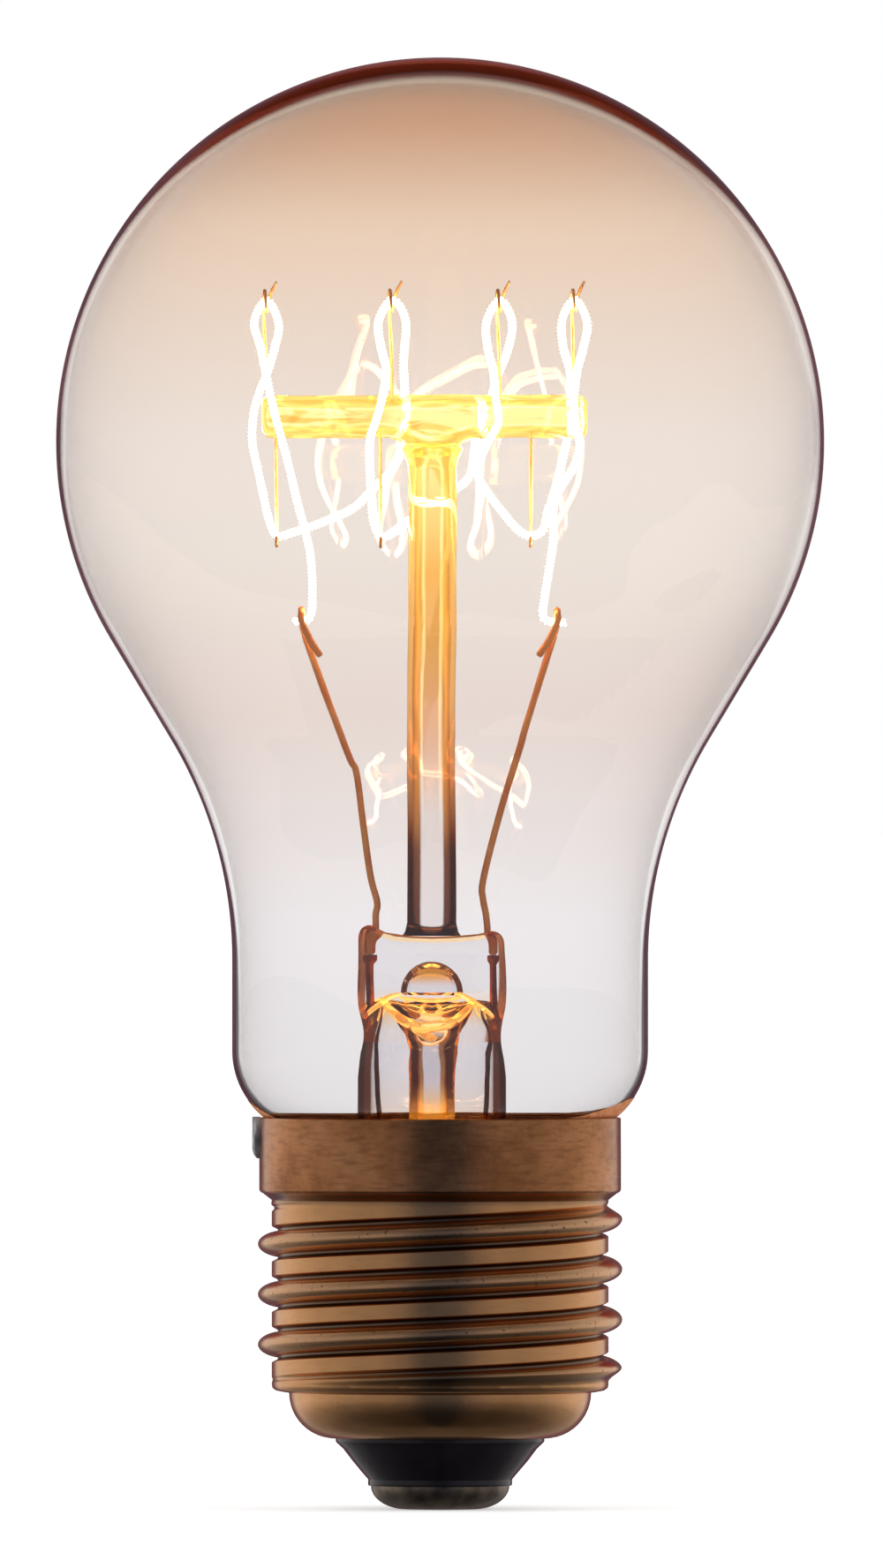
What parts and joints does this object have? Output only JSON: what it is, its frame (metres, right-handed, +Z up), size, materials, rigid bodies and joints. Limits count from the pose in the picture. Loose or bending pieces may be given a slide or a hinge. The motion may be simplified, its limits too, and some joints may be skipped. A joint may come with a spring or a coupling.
{
  "type": "filament bulb",
  "caption": "Pear-shaped clear glass filament bulb with a long neck, a glass stem and cross-bar, a wire-hung looped filament and an E27-size screw cap.",
  "frame": {"origin": "middle of the centre contact's flat tip, on the bulb's axis", "axes": "+Z up the axis to the crown, +X along the cross-bar, -Y towards the viewer of the front"},
  "size_m": [0.0554, 0.0554, 0.1047],
  "materials": {
    "bulb_glass": "clear blown glass with a faint warm tint",
    "stem_glass": "clear drawn glass",
    "cap_brass": "rolled brass, satin, a little aged",
    "contact_brass": "stamped brass, satin",
    "black_glass": "opaque black glass, glossy",
    "solder": "dull tin solder",
    "cement": "baked orange-brown basing cement",
    "lead_wire": "nickel wire with a copper tint",
    "dumet": "copper-clad seal wire, red in the glass",
    "outer_wire": "tinned copper wire",
    "hook_wire": "molybdenum wire",
    "filament": "glowing strand"
  },
  "bodies": {
    "root": {"envelope": "bulb_glass", "screw_shell": "cap_brass", "cap_insulator": "black_glass", "centre_contact": "contact_brass", "centre_solder": "solder", "side_solder": "solder", "basing_cement": "cement", "stem_flare": "stem_glass", "stem_press": "stem_glass", "exhaust_tube": "stem_glass", "arbor_rod": "stem_glass", "cross_bar": "stem_glass", "lead_inner_left": "lead_wire", "lead_inner_right": "lead_wire", "dumet_left": "dumet", "dumet_right": "dumet", "lead_outer_left": "outer_wire", "lead_outer_right": "outer_wire", "upper_hook_1": "hook_wire", "upper_hook_2": "hook_wire", "upper_hook_3": "hook_wire", "upper_hook_4": "hook_wire", "lower_hook_1": "hook_wire", "lower_hook_2": "hook_wire", "lower_hook_3": "hook_wire", "filament": "filament"}
  },
  "joints": []
}
